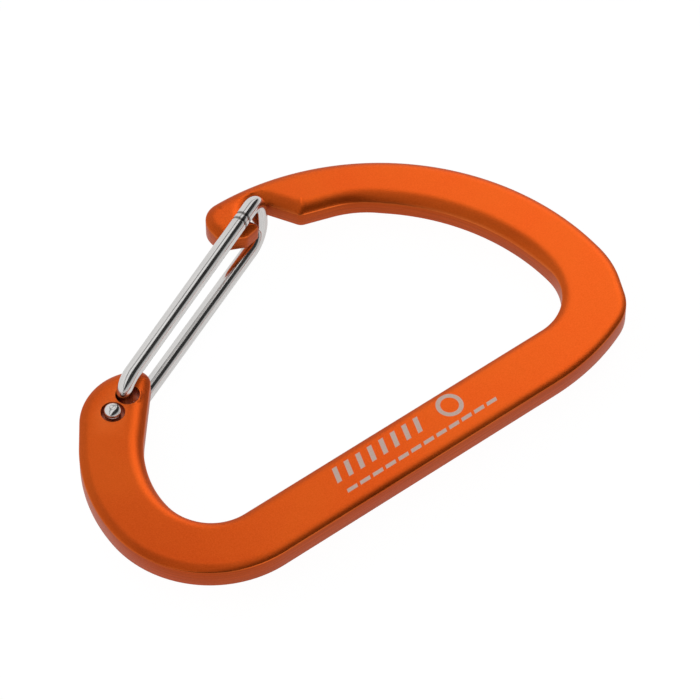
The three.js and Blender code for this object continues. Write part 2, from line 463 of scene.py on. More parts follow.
def plate_corners():
    """The plate's corners anticlockwise, each (place, radius, 1 if it is round the opening)."""
    inner_left = HINGE_SIDE_BAND - HALF_LENGTH
    inner_right = HALF_LENGTH - CLOSED_SIDE_BAND
    lip = -(WIRE_RADIUS + NOTCH_LIP_GAP)
    back = WIRE_RADIUS + NOTCH_BACK_GAP
    end = WIRE_RADIUS + NOTCH_END_GAP
    toe = [((HALF_LENGTH - inset, y), r, 0) for inset, y, r in TOE_CORNERS]
    heel = [(beside_post(lip + along, end - low), r, 1) for along, low, r in NOSE_HEEL_CORNERS]
    arm_y = BODY_WIDTH - ARM_BAND - ARM_CORNER_DROP
    mouth = beside_post(back + NOTCH_MOUTH_FLARE, -NOTCH_MOUTH_DEPTH)
    return [
        ((-HALF_LENGTH, 0), HEEL_RADIUS, 0),
        *toe,
        ((HALF_LENGTH, BODY_WIDTH), CROWN_RADIUS, 0),
        ((POST[0] - NOSE_REACH, BODY_WIDTH), NOSE_TOP_RADIUS, 0),
        *heel,
        (beside_post(lip, end), NOTCH_CORNER_RADIUS, 1),
        (beside_post(back, end), NOTCH_CORNER_RADIUS, 1),
        (mouth, NOTCH_MOUTH_RADIUS, 1),
        ((ARM_CORNER_FROM_CENTRE, arm_y), ARM_CORNER_RADIUS, 1),
        ((inner_right, HINGE[1] - INNER_CROWN_BELOW_HINGE), INNER_CROWN_RADIUS, 1),
        ((inner_right, SPINE_BAND), INNER_TOE_RADIUS, SPINE_SIDE),
        ((inner_left, SPINE_BAND), INNER_HEEL_RADIUS, SPINE_SIDE),
        ((inner_left, HINGE[1] + INNER_FLANK[0]), INNER_FLANK[1], 1),
        (HINGE + HINGE_TIP[:2], HINGE_TIP[2], 1),
        (HINGE + HINGE_TOP[:2], HINGE_TOP[2], 0),
        ((-HALF_LENGTH, HINGE[1] + FLANK[0]), FLANK[1], 0),
    ]


def rounded_outline(corners):
    """The corners rounded by arcs, as close-set places and the opening mark of each."""
    places = np.array([place for place, _, _ in corners], float)
    sides = np.roll(places, -1, 0) - places
    lengths = np.linalg.norm(sides, axis=1)
    ways = sides / lengths[:, None]
    before = np.roll(ways, 1, 0)
    cross = before[:, 0] * ways[:, 1] - before[:, 1] * ways[:, 0]
    turns = np.arctan2(cross, (before * ways).sum(1))
    radii = np.array([radius for _, radius, _ in corners], float)
    reaches = radii * np.tan(np.abs(turns) / 2)
    shares = np.minimum(1, MOST_OF_A_SIDE * lengths / (reaches + np.roll(reaches, -1)))
    outline = []
    for i, (_, radius, opening) in enumerate(corners):
        r = radius * min(shares[i - 1], shares[i])
        start = places[i] - before[i] * r * math.tan(abs(turns[i]) / 2)
        left = np.array((-before[i][1], before[i][0]))
        centre = start + left * r * math.copysign(1, turns[i])
        steps = math.ceil(max(abs(turns[i]) / ARC_STEP, abs(turns[i]) * r / LONGEST_EDGE))
        for k in range(steps + 1):
            c, s = math.cos(turns[i] * k / steps), math.sin(turns[i] * k / steps)
            x, y = start - centre
            outline.append((*(centre + (c * x - s * y, s * x + c * y)), opening))
    outline = np.array(outline)
    gaps = np.linalg.norm(np.roll(outline, 1, 0)[:, :2] - outline[:, :2], axis=1)
    outline = outline[gaps > SHORTEST_EDGE]
    dense = []
    for here, after in zip(outline, np.roll(outline, -1, 0)):
        pieces = math.ceil(np.linalg.norm(after[:2] - here[:2]) / LONGEST_EDGE)
        dense.extend(here + (after - here) * k / pieces for k in range(pieces))
    dense = np.array(dense)
    return dense[:, :2], dense[:, 2]


def blurred_round(values, places, reach):
    """Values round a closed line, each averaged with those within reach along it."""
    gaps = np.linalg.norm(np.roll(places, -1, 0) - places, axis=1)
    run = np.concatenate(([0], np.cumsum(gaps)[:-1]))
    total = gaps.sum()
    apart = np.abs(run[:, None] - run[None, :])
    apart = np.minimum(apart, total - apart)
    weight = np.clip(1 - apart / reach, 0, None) * gaps[None, :]
    return (weight @ values) / weight.sum(1)


def inward_normals(places):
    """Unit normals to the left of a closed line."""
    ahead = np.roll(places, -1, 0) - places
    ahead /= np.linalg.norm(ahead, axis=1)[:, None]
    mean = ahead + np.roll(ahead, 1, 0)
    mean /= np.linalg.norm(mean, axis=1)[:, None]
    return np.stack((-mean[:, 1], mean[:, 0]), 1)


def room_inwards(places, normals, others):
    """For each place, the radius of the largest circle inside the plate that touches it there."""
    everything = np.concatenate((places, others))
    apart = everything[None, :, :] - places[:, None, :]
    along = (apart * normals[:, None, :]).sum(2)
    square = (apart**2).sum(2)
    radius = square / (2 * np.maximum(along, TOUCHING))
    return np.where(along > TOUCHING, radius, OUT_OF_REACH).min(1)


def circle(centre, radius):
    """Places round a hole."""
    angles = 2 * math.pi * np.arange(HOLE_SIDES) / HOLE_SIDES
    return centre + radius * np.stack((np.cos(angles), np.sin(angles)), 1)


def inside(points, outline):
    """Which points lie inside a closed outline."""
    x, y = points[:, 0][:, None], points[:, 1][:, None]
    ax, ay = outline[:, 0][None, :], outline[:, 1][None, :]
    after = np.roll(outline, -1, 0)
    bx, by = after[:, 0][None, :], after[:, 1][None, :]
    crosses = (ay > y) != (by > y)
    with np.errstate(divide="ignore", invalid="ignore"):
        at = ax + (y - ay) * (bx - ax) / (by - ay)
    return (crosses & (x < at)).sum(1) % 2 == 1


class PlateMesh:
    """Collects the plate's vertices, faces and zone values, both faces of the plate alike."""

    def __init__(self):
        self.places = []
        self.faces = []
        self.flat = []
        self.ridge = []
        self.wall = []
        self.side = 1

    def row(self, plan, heights, ridge=0.0, wall=0.0):
        """Adds vertices and returns their numbers."""
        first = len(self.places)
        heights = np.broadcast_to(heights, len(plan))
        self.places.extend((x, y, self.side * z) for (x, y), z in zip(plan, heights))
        self.ridge.extend([ridge] * len(plan))
        self.wall.extend([wall] * len(plan))
        return np.arange(first, len(self.places))

    def strip(self, low, high):
        """Faces between two closed rows of equal length."""
        for corners in zip(low, np.roll(low, -1), np.roll(high, -1), high):
            self.face(corners, False)

    def face(self, corners, flat):
        """One face, its corners anticlockwise as seen from above the upper side."""
        corners = [int(corner) for corner in corners]
        self.faces.append(corners[:: self.side])
        self.flat.append(flat)


def plate_mesh(settings):
    """The plate, with falling shoulders, crisp ridges and rolled hole rims."""
    places, opening = rounded_outline(plate_corners())
    opening = blurred_round(opening, places, STYLE_BLEND)
    outer = np.array((settings.outer_drop, settings.outer_width)) / MM
    inner = np.array((settings.inner_drop, settings.inner_width)) / MM
    under = np.array((settings.under_drop, settings.outer_width)) / MM
    upper_falls = outer[:, None] * (1 - opening) + inner[:, None] * opening
    lower_falls = outer[:, None] * (1 - opening) + under[:, None] * opening
    mesh = PlateMesh()
    edge = mesh.row(places, 0.0, wall=1)
    holes = [mesh.row(circle(centre, HOLE_RADIUS), 0.0, wall=1) for centre in HOLES]
    for side, falls in ((1, upper_falls), (-1, lower_falls)):
        mesh.side = side
        add_side(mesh, settings, places, edge, holes, *falls)
    return mesh


def add_side(mesh, settings, places, edge, holes, drop, width):
    """One half of the plate, from the line round the middle of its wall up to its face."""
    half = PLATE_THICKNESS / 2
    normals = inward_normals(places)
    rolled = settings.hole_rounding / MM
    rim_places = np.concatenate([circle(centre, HOLE_RADIUS + rolled) for centre in HOLES])
    room = CLEAR_OF_MIDDLE * room_inwards(places, normals, rim_places)
    ridge = settings.ridge_radius / MM

    def height(distance, i=slice(None)):
        """Height of the face this far from the edge."""
        return half - drop[i] * (1 - np.clip(distance / width[i], 0, 1)) ** SHOULDER_POWER

    last = edge
    for across, taken, down, on_ridge, on_wall in RIDGE_ROWS:
        plan = places + normals * np.minimum(across * ridge, room)[:, None]
        row = mesh.row(plan, height(taken * ridge) - down * ridge, on_ridge, on_wall)
        mesh.strip(last, row)
        last = row
    # Each row keeps its share of the room where the plate is too narrow for the whole fall.
    reach = np.minimum(1, room / (width + FLAT_RING))
    for step in (*SHOULDER_STEPS, None):
        wanted = width + FLAT_RING if step is None else step * width
        distance = np.maximum(wanted * reach, np.minimum(ridge * (1 + (step or 1)), room))
        row = mesh.row(places + normals * distance[:, None], height(distance))
        mesh.strip(last, row)
        last = row

    rims = []
    for centre, low in zip(HOLES, holes):
        for out, down, on_ridge, on_wall in HOLE_RIM_ROWS:
            plan = circle(centre, HOLE_RADIUS + out * rolled)
            high = mesh.row(plan, half - down * rolled, on_ridge, on_wall)
            mesh.strip(high, low)
            low = high
        rims.append(low)
    fill_face(mesh, last, rims, places, room, width, height, HOLE_RADIUS + rolled)


def fill_face(mesh, border, rims, places, room, width, height, rim_radius):
    """Fills the plate's face inside its shoulders, round the hole rims."""
    half = PLATE_THICKNESS / 2
    border_plan = np.array(mesh.places)[border][:, :2]
    tree = KDTree(len(places))
    for i, (x, y) in enumerate(places):
        tree.insert((x, y, 0), i)
    tree.balance()
    xs = np.arange(places[:, 0].min(), places[:, 0].max(), FILL_SPACING)
    ys = np.arange(places[:, 1].min(), places[:, 1].max(), FILL_SPACING)
    grid = np.stack(np.meshgrid(xs, ys), -1).reshape(-1, 2)
    kept = []
    for x, y in grid:
        _, i, distance = tree.find((x, y, 0))
        reached = width[i] + FLAT_RING if room[i] > width[i] + FLAT_RING else room[i]
        if reached + CLEAR_OF_BORDER * FILL_SPACING < distance < width[i] + FILL_SPACING:
            kept.append((x, y, i, distance))
    kept = np.array(kept)
    clear = inside(kept[:, :2], border_plan)
    for centre in HOLES:
        away = np.linalg.norm(kept[:, :2] - centre, axis=1)
        clear &= away > rim_radius + CLEAR_OF_HOLE * FILL_SPACING
    kept = kept[clear]
    nearest = kept[:, 2].astype(int)
    loose = mesh.row(kept[:, :2], np.minimum(height(kept[:, 3], nearest), half))
    numbers = np.concatenate((border, *rims, loose))
    plan = np.array(mesh.places)[numbers][:, :2]
    edges = []
    first = 0
    for loop in (border, *rims):
        count = len(loop)
        edges.extend((first + k, first + (k + 1) % count) for k in range(count))
        first += count
    found = delaunay_2d_cdt([Vector(p) for p in plan], edges, [], 0, FILL_MERGE)
    if len(found[0]) != len(plan):
        raise RuntimeError("the plate's shoulders cross each other, so its face can't be filled")
    triangles = np.array([tuple(face) for face in found[2]])
    back = np.array([origin[0] for origin in found[3]])
    triangles = back[triangles]
    centres = plan[triangles].mean(1)
    wanted = inside(centres, border_plan)
    for centre in HOLES:
        wanted &= ~inside(centres, circle(centre, rim_radius))
    z = np.abs(np.array(mesh.places)[:, 2])
    for triangle in triangles[wanted]:
        a, b, c = plan[triangle]
        if (b[0] - a[0]) * (c[1] - a[1]) - (b[1] - a[1]) * (c[0] - a[0]) < 0:
            triangle = triangle[::-1]
        corners = numbers[triangle]
        mesh.face(corners, bool(z[corners].min() > half - TOUCHING))


# ---------------------------------------------------------------- wire path


def bend_points(before, corner, after, radius, steps):
    """Places round a circular bend between two straight stretches."""
    back = (before - corner).normalized()
    forward = (after - corner).normalized()
    half_turn = (math.pi - back.angle(forward)) / 2
    start = corner + back * radius * math.tan(half_turn)
    centre = corner + (back + forward).normalized() * radius / math.cos(half_turn)
    across = start - centre
    ahead = (corner - start).normalized() * radius
    angles = [2 * half_turn * k / steps for k in range(steps + 1)]
    return [centre + across * math.cos(a) + ahead * math.sin(a) for a in angles]


def wire_points():
    """The wire's centre line in millimetres, from the buried pin end to the headed end."""
    upper = beside_post(UPPER_LOOP_REACH, UPPER_LOOP_LIFT)
    lower = beside_post(LOWER_LOOP_REACH, -LOWER_LOOP_DROP)
    corners = [
        Vector((*FRONT_PIN, PLATE_BOTTOM + PIN_END_ABOVE_FACE)),
        Vector((*FRONT_PIN, TOP_LEG)),
        Vector((*upper, TOP_LEG)),
        Vector((*lower, BOTTOM_LEG)),
        Vector((*REAR_HOLE, BOTTOM_LEG)),
        Vector((*REAR_HOLE, HEAD_TOP)),
    ]
    radii = (PIN_BEND_RADIUS, UPPER_LOOP_RADIUS, LOWER_LOOP_RADIUS, PIN_BEND_RADIUS)
    line = [corners[0]]
    for before, corner, after, radius in zip(corners, corners[1:], corners[2:], radii):
        line.extend(bend_points(before, corner, after, radius, WIRE_BEND_STEPS))
    line.append(corners[-1])
    dense = []
    for here, after in zip(line, line[1:]):
        pieces = max(1, math.ceil((after - here).length / WIRE_STEP))
        dense.extend(here.lerp(after, k / pieces) for k in range(pieces))
    return dense + [line[-1]]


def wire_stations(mark_depth):
    """Places along the wire in millimetres and its radius at each, with the shaped ends."""
    points = wire_points()
    foot = points[0]
    head = points[-1]
    stations = []
    for k in range(CHAMFER_STEPS + 1):
        angle = k / CHAMFER_STEPS * math.pi / 2
        shrink = PIN_CHAMFER * (1 - math.sin(angle))
        rise = PIN_CHAMFER * (1 - math.cos(angle))
        stations.append((foot + Vector((0, 0, rise)), WIRE_RADIUS - shrink))
    chamfer_end = foot.z + CHAMFER_CLEARANCE * PIN_CHAMFER
    head_start = head.z - HEAD_RUN - HEAD_RUN_CLEARANCE
    loop_start = Vector((*beside_post(UPPER_LOOP_REACH, UPPER_LOOP_LIFT), TOP_LEG))
    for point in points:
        if point.z < chamfer_end and (point - foot).length < NEAR_FOOT:
            continue
        if point.z > head_start and (point - head).length < NEAR_HEAD:
            continue
        radius = WIRE_RADIUS
        if abs(point.z - loop_start.z) < TOP_LEG_SLACK:
            for mark in TOOL_MARKS:
                off = abs((loop_start - point).length - mark) / TOOL_MARK_HALF_WIDTH
                radius -= mark_depth * max(0, 1 - off**2)
        stations.append((point, radius))
    spread = WIRE_RADIUS + PIN_HEAD_SPREAD
    dome = PIN_HEAD_DOME * spread
    neck = WIRE_RADIUS + NECK_SPREAD * PIN_HEAD_SPREAD
    stations.append((head - Vector((0, 0, HEAD_RUN + HEAD_RUN_START)), WIRE_RADIUS))
    stations.append((head - Vector((0, 0, dome + NECK_BELOW_DOME)), neck))
    for k in range(DOME_ROWS):
        angle = math.pi / 2 * k / DOME_QUARTER
        down = dome * (1 - math.sin(angle))
        stations.append((head - Vector((0, 0, down)), spread * math.cos(angle)))
    return stations


# ---------------------------------------------------------------- materials


def add_node(tree, kind, **values):
    """A node with its settings and, by name or number, its input values."""
    inputs = values.pop("inputs", {})
    item = tree.nodes.new(kind)
    for name, value in values.items():
        setattr(item, name, value)
    for name, value in inputs.items():
        if isinstance(value, bpy.types.NodeSocket):
            tree.links.new(value, item.inputs[name])
        else:
            item.inputs[name].default_value = value
    return item


def maths(tree, operation, first, second=0.0, clamp=False):
    """The result of a Math node."""
    item = add_node(
        tree,
        "ShaderNodeMath",
        operation=operation,
        use_clamp=clamp,
        inputs={0: first, 1: second},
    )
    return item.outputs[0]


def mixed(tree, factor, first, second):
    """Two colours mixed by a factor."""
    item = tree.nodes.new("ShaderNodeMix")
    item.data_type = "RGBA"
    for name, value in (("Factor", factor), ("A", first), ("B", second)):
        sockets = [s for s in item.inputs if s.name == name and s.enabled]
        if isinstance(value, bpy.types.NodeSocket):
            tree.links.new(value, sockets[0])
        elif name == "Factor":
            sockets[0].default_value = value
        else:
            sockets[0].default_value = (*value[:3], 1)
    return [s for s in item.outputs if s.enabled][0]


def remapped(tree, value, low, high, new_low, new_high):
    """A value's range moved to a new range."""
    item = add_node(
        tree,
        "ShaderNodeMapRange",
        inputs={0: value, 1: low, 2: high, 3: new_low, 4: new_high},
    )
    return item.outputs[0]


def grain_group():
    """Fine scatter and soft clouding of a metal surface, used by both finishes."""
    tree = bpy.data.node_groups.new("Metal grain", "ShaderNodeTree")
    sockets = tree.interface
    sockets.new_socket("Vector", in_out="INPUT", socket_type="NodeSocketVector")
    for name, default in (("Grain scale", 9000.0), ("Cloud scale", 60.0), ("Stretch", 1.0)):
        made = sockets.new_socket(name, in_out="INPUT", socket_type="NodeSocketFloat")
        made.default_value = default
    for name in ("Grain", "Cloud", "Streak"):
        sockets.new_socket(name, in_out="OUTPUT", socket_type="NodeSocketFloat")
    start = tree.nodes.new("NodeGroupInput")
    end = tree.nodes.new("NodeGroupOutput")
    place = start.outputs["Vector"]
    grain = add_node(
        tree,
        "ShaderNodeTexNoise",
        inputs={"Vector": place, "Scale": start.outputs["Grain scale"], "Detail": 2.0},
    )
    cloud = add_node(
        tree,
        "ShaderNodeTexNoise",
        inputs={"Vector": place, "Scale": start.outputs["Cloud scale"], "Detail": 3.0},
    )
    squeeze = add_node(
        tree, "ShaderNodeCombineXYZ", inputs={0: 1.0, 1: 1.0, 2: start.outputs["Stretch"]}
    )
    stretched = add_node(
        tree,
        "ShaderNodeVectorMath",
        operation="MULTIPLY",
        inputs={0: place, 1: squeeze.outputs[0]},
    )
    streak = add_node(
        tree,
        "ShaderNodeTexNoise",
        inputs={"Vector": stretched.outputs[0], "Scale": STREAK_SCALE, "Detail": 4.0},
    )
    tree.links.new(grain.outputs[0], end.inputs["Grain"])
    tree.links.new(cloud.outputs[0], end.inputs["Cloud"])
    tree.links.new(streak.outputs[0], end.inputs["Streak"])
    return tree


def row_mask(tree, x, y, row):
    """1 on the bars of a printed row and 0 elsewhere."""
    centre = in_frame(row["x"], row["y"], 0)
    from_x = maths(tree, "SUBTRACT", x, centre.x)
    from_y = maths(tree, "SUBTRACT", y, centre.y)
    leaning = maths(tree, "SUBTRACT", from_x, maths(tree, "MULTIPLY", from_y, PRINT_LEAN))
    pitch = row["pitch"] * MM
    share = maths(tree, "FRACT", maths(tree, "MULTIPLY", leaning, 1 / pitch))
    off = maths(tree, "ABSOLUTE", maths(tree, "SUBTRACT", share, 0.5))
    over = maths(tree, "SUBTRACT", maths(tree, "MULTIPLY", off, pitch), row["bar"] * MM)
    above = maths(tree, "SUBTRACT", maths(tree, "ABSOLUTE", from_y), row["tall"] * MM)
    past = maths(tree, "SUBTRACT", maths(tree, "ABSOLUTE", leaning), row["bars"] * pitch / 2)
    outside = maths(tree, "MAXIMUM", maths(tree, "MAXIMUM", over, above), past)
    return remapped(tree, outside, -PRINT_SOFTNESS, PRINT_SOFTNESS, 1, 0)


def ring_mask(tree, x, y):
    """1 on the printed ring and 0 elsewhere."""
    centre = in_frame(*PRINT_RING["place"], 0)
    from_x = maths(tree, "SUBTRACT", x, centre.x)
    from_y = maths(tree, "SUBTRACT", y, centre.y)
    square_x = maths(tree, "MULTIPLY", from_x, from_x)
    square_y = maths(tree, "MULTIPLY", from_y, from_y)
    away = maths(tree, "SQRT", maths(tree, "ADD", square_x, square_y))
    off = maths(tree, "SUBTRACT", away, PRINT_RING["radius"] * MM)
    over = maths(tree, "SUBTRACT", maths(tree, "ABSOLUTE", off), PRINT_RING["half_stroke"] * MM)
    return remapped(tree, over, -PRINT_SOFTNESS, PRINT_SOFTNESS, 1, 0)


def surface_attribute(tree, name, output="Fac"):
    """A value that the piece's mesh carries."""
    return add_node(tree, "ShaderNodeAttribute", attribute_name=name).outputs[output]


def new_finish(name, grain, grain_inputs):
    """A material with its node tree, shader, object coordinates and grain values."""
    material = bpy.data.materials.new(name)
    material.use_nodes = True
    tree = material.node_tree
    place = add_node(tree, "ShaderNodeTexCoord").outputs["Object"]
    surface = add_node(
        tree, "ShaderNodeGroup", node_tree=grain, inputs={"Vector": place, **grain_inputs}
    )
    return material, tree, tree.nodes["Principled BSDF"], place, surface.outputs


def darker(colour, share):
    """This share of a colour."""
    return [c * share for c in colour]


def anodised_material(settings, grain):
    """Satin dyed aluminium: fine grain, soft clouding, ridges lightened by wear and a painted
    highlight, streaked walls, print.
    """
    material, tree, shader, place, surface = new_finish("Anodised plate", grain, PLATE_GRAIN)
    x, y, z = add_node(tree, "ShaderNodeSeparateXYZ", inputs={0: place}).outputs
    ridge = surface_attribute(tree, "ridge")
    wall = surface_attribute(tree, "wall")

    cloud = remapped(tree, surface["Cloud"], *MIDDLE_NOISE, 0, 1)
    base = mixed(tree, cloud, settings.shade_colour, settings.colour)
    fleck = remapped(tree, surface["Grain"], *FLECK_NOISE, 0, FLECK_STRENGTH)
    base = mixed(tree, fleck, base, [min(1, c * FLECK_GAIN + FLECK_LIFT) for c in settings.colour])
    streak = remapped(tree, surface["Streak"], *WALL_STREAK_NOISE, 0, 1)
    on_wall = maths(tree, "MULTIPLY", streak, wall)
    streak = maths(tree, "MULTIPLY", on_wall, WALL_STREAK_STRENGTH)
    base = mixed(tree, streak, base, darker(settings.colour, WALL_STREAK_SHADE))
    # Painted highlight with wear: the ridges and hole rims lighten in patches that follow the
    # clouding
    wear_and_highlight = remapped(tree, surface["Cloud"], *BROAD_NOISE, *RIDGE_WEAR_AND_HIGHLIGHT)
    base = mixed(tree, maths(tree, "MULTIPLY", ridge, wear_and_highlight), base, RIDGE_WEAR_AND_HIGHLIGHT_COLOUR)

    printed = ring_mask(tree, x, y)
    for row in PRINT_ROWS:
        printed = maths(tree, "MAXIMUM", printed, row_mask(tree, x, y, row))
    fade_start, fade_end = (PLATE_HIGH.z - depth for depth in PRINT_DEPTH)
    printed = maths(tree, "MULTIPLY", printed, remapped(tree, z, fade_start, fade_end, 0, 1))
    patchy = remapped(tree, surface["Grain"], *PRINT_NOISE, *PRINT_COVER)
    printed = maths(tree, "MULTIPLY", printed, patchy, clamp=True)
    base = mixed(tree, printed, base, settings.print_colour)

    rough = remapped(tree, surface["Cloud"], *BROAD_NOISE, *PLATE_ROUGHNESS)
    rough = maths(tree, "SUBTRACT", rough, maths(tree, "MULTIPLY", ridge, RIDGE_POLISH))
    rough = maths(tree, "ADD", rough, maths(tree, "MULTIPLY", printed, PRINT_ROUGHNESS))
    metal = remapped(tree, printed, 0, 1, *PLATE_METAL)
    streak_height = maths(tree, "MULTIPLY", on_wall, WALL_STREAK_HEIGHT)
    height = maths(tree, "ADD", surface["Grain"], streak_height)
    bump = add_node(tree, "ShaderNodeBump", inputs={**PLATE_BUMP, "Height": height})
    tree.links.new(base, shader.inputs["Base Color"])
    tree.links.new(rough, shader.inputs["Roughness"])
    tree.links.new(metal, shader.inputs["Metallic"])
    tree.links.new(bump.outputs[0], shader.inputs["Normal"])
    return material


def steel_material(settings, grain):
    """Bright drawn steel, with fine streaks that run along the wire and painted shade in its tool
    marks.
    """
    material, tree, shader, _, surface = new_finish("Bright gate wire", grain, WIRE_GRAIN)
    around = surface_attribute(tree, "wire_section", "Vector")
    along = surface_attribute(tree, "wire_run")
    share = surface_attribute(tree, "wire_share")
    section = add_node(
        tree,
        "ShaderNodeVectorMath",
        operation="SCALE",
        inputs={0: around, "Scale": STREAKS_AROUND},
    )
    drift = add_node(
        tree, "ShaderNodeCombineXYZ", inputs={2: maths(tree, "MULTIPLY", along, STREAKS_ALONG)}
    )
    lane = add_node(
        tree,
        "ShaderNodeVectorMath",
        operation="ADD",
        inputs={0: section.outputs[0], 1: drift.outputs[0]},
    )
    streak = add_node(
        tree,
        "ShaderNodeTexNoise",
        inputs={"Vector": lane.outputs[0], "Scale": 1.0, "Detail": 5.0, "Roughness": 0.6},
    ).outputs[0]
    tint = remapped(tree, streak, *MIDDLE_NOISE, 0, 1)
    base = mixed(tree, tint, darker(settings.colour, STREAK_SHADE), settings.colour)
    spots = remapped(tree, surface["Cloud"], *SPOT_NOISE, 0, SPOT_STRENGTH)
    base = mixed(tree, spots, base, darker(settings.colour, SPOT_SHADE))
    # Painted shade: the tool marks darken towards a near-black colour with their depth
    full_mark = 1 - MARK_SHADE_FULL * settings.mark_depth / settings.wire_radius
    mark_shade = remapped(tree, share, 1, full_mark, 0, 1)
    before_head = remapped(tree, along, MARKS_END, MARKS_END + MM, 1, 0)
    after_foot = remapped(tree, along, MARKS_START, MARKS_START + MM, 0, 1)
    mark_shade = maths(tree, "MULTIPLY", mark_shade, maths(tree, "MULTIPLY", before_head, after_foot))
    base = mixed(tree, mark_shade, base, MARK_SHADE_COLOUR)
    rough = remapped(tree, streak, *BROAD_NOISE, *WIRE_ROUGHNESS)
    grain_height = maths(tree, "MULTIPLY", surface["Grain"], GRAIN_HEIGHT)
    height = maths(tree, "ADD", streak, grain_height)
    bump = add_node(tree, "ShaderNodeBump", inputs={**WIRE_BUMP, "Height": height})
    tree.links.new(base, shader.inputs["Base Color"])
    tree.links.new(rough, shader.inputs["Roughness"])
    tree.links.new(bump.outputs[0], shader.inputs["Normal"])
    shader.inputs["Metallic"].default_value = 1.0
    return material


# ---------------------------------------------------------------- pieces


def linked(name, data):
    """A new object in the scene, at the origin."""
    made = bpy.data.objects.new(name, data)
    bpy.context.scene.collection.objects.link(made)
    return made


def shared_grain():
    """The grain group, built once."""
    return bpy.data.node_groups.get("Metal grain") or grain_group()


def lamp_lit_collection():
    """The collection of pieces that the lamps fall on, made once."""
    found = bpy.data.collections.get("lit by the lamps")
    return found or bpy.data.collections.new("lit by the lamps")


class CARABINER_OT_plate(bpy.types.Operator):
    """Make the anodised plate body"""

    bl_idname = "carabiner.plate"
    bl_label = "Plate body"

    def execute(self, context):
        settings = context.scene.carabiner_plate
        shape = plate_mesh(settings)
        data = bpy.data.meshes.new("plate")
        places = [in_frame(x, y, z + PLATE_MIDDLE) for x, y, z in shape.places]
        data.from_pydata(places, [], shape.faces)
        if data.validate():
            raise RuntimeError("the plate's mesh has faces that can't stand")
        data.polygons.foreach_set("use_smooth", [not flat for flat in shape.flat])
        for name, values in (("ridge", shape.ridge), ("wall", shape.wall)):
            made = data.attributes.new(name, "FLOAT", "POINT")
            made.data.foreach_set("value", np.array(values, np.float32))
        data.materials.append(anodised_material(settings, shared_grain()))
        plate = linked("plate_body", data)
        lamp_lit_collection().objects.link(plate)
        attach(plate, "frame")
        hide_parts("body_plate")
        return {"FINISHED"}


def stored(tree, geometry, name, value, kind="FLOAT"):
    """The geometry with a value kept on it by name."""
    item = add_node(
        tree,
        "GeometryNodeStoreNamedAttribute",
        data_type=kind,
        inputs={"Geometry": geometry, "Name": name, "Value": value},
    )
    return item.outputs[0]


def wire_tree(material):
    """Geometry nodes that give a line its wire: section, shading and finish."""
    tree = bpy.data.node_groups.new("Bent wire", "GeometryNodeTree")
    sockets = tree.interface
    sockets.new_socket("Geometry", in_out="INPUT", socket_type="NodeSocketGeometry")
    radius = sockets.new_socket("Wire radius", in_out="INPUT", socket_type="NodeSocketFloat")
    sides = sockets.new_socket("Sides", in_out="INPUT", socket_type="NodeSocketInt")
    sockets.new_socket("Geometry", in_out="OUTPUT", socket_type="NodeSocketGeometry")
    start = tree.nodes.new("NodeGroupInput")
    end = tree.nodes.new("NodeGroupOutput")
    run = add_node(tree, "GeometryNodeSplineParameter").outputs["Length"]
    share = add_node(tree, "GeometryNodeInputRadius").outputs[0]
    place = add_node(tree, "GeometryNodeInputPosition").outputs[0]
    line = stored(tree, start.outputs["Geometry"], "wire_run", run)
    line = stored(tree, line, "wire_share", share)
    ring = add_node(
        tree,
        "GeometryNodeCurvePrimitiveCircle",
        inputs={"Resolution": start.outputs["Sides"], "Radius": 1.0},
    )
    section = stored(tree, ring.outputs["Curve"], "wire_section", place, "FLOAT_VECTOR")
    tube = add_node(
        tree,
        "GeometryNodeCurveToMesh",
        inputs={
            "Curve": line,
            "Profile Curve": section,
            "Scale": maths(tree, "MULTIPLY", share, start.outputs["Wire radius"]),
            "Fill Caps": True,
        },
    )
    smooth = add_node(tree, "GeometryNodeSetShadeSmooth", inputs={0: tube.outputs[0]})
    real = add_node(tree, "GeometryNodeRealizeInstances", inputs={0: smooth.outputs[0]})
    finish = add_node(
        tree,
        "GeometryNodeSetMaterial",
        inputs={"Geometry": real.outputs[0], "Material": material},
    )
    tree.links.new(finish.outputs[0], end.inputs[0])
    return tree, radius.identifier, sides.identifier


class CARABINER_OT_gate(bpy.types.Operator):
    """Make the sprung wire gate"""

    bl_idname = "carabiner.gate"
    bl_label = "Wire gate"

    def execute(self, context):
        settings = context.scene.carabiner_gate
        material = steel_material(settings, shared_grain())
        stations = wire_stations(settings.mark_depth / MM)
        line = bpy.data.curves.new("wire line", "CURVE")
        line.dimensions = "3D"
        spline = line.splines.new("POLY")
        spline.points.add(len(stations) - 1)
        for point, (place, radius) in zip(spline.points, stations):
            point.co = (*in_frame(*place), 1)
            point.radius = radius / WIRE_RADIUS
        carrier = linked("wire line", line)
        tree, radius_input, sides_input = wire_tree(material)
        modifier = carrier.modifiers.new("Bent wire", "NODES")
        modifier.node_group = tree
        modifier[radius_input] = settings.wire_radius
        modifier[sides_input] = settings.sides
        evaluated = carrier.evaluated_get(context.evaluated_depsgraph_get())
        data = bpy.data.meshes.new_from_object(evaluated)
        carrier.modifiers.remove(modifier)
        bpy.data.objects.remove(carrier)
        self.press_dimple(data)
        data.name = "wire gate"
        gate = linked("wire_gate_bent", data)
        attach(gate, "gate")
        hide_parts("wire_gate")
        return {"FINISHED"}

    def press_dimple(self, data):
        """Presses a small hollow into the top of the wire's head."""
        head = in_frame(*REAR_HOLE, HEAD_TOP)
        for vertex in data.vertices:
            away = (vertex.co - head).xy.length / (DIMPLE_RADIUS * MM)
            if away < 1 and vertex.co.z > PLATE_HIGH.z:
                vertex.co.z -= DIMPLE_DEPTH * MM * (1 - away**2) ** 2


# ---------------------------------------------------------------- stage


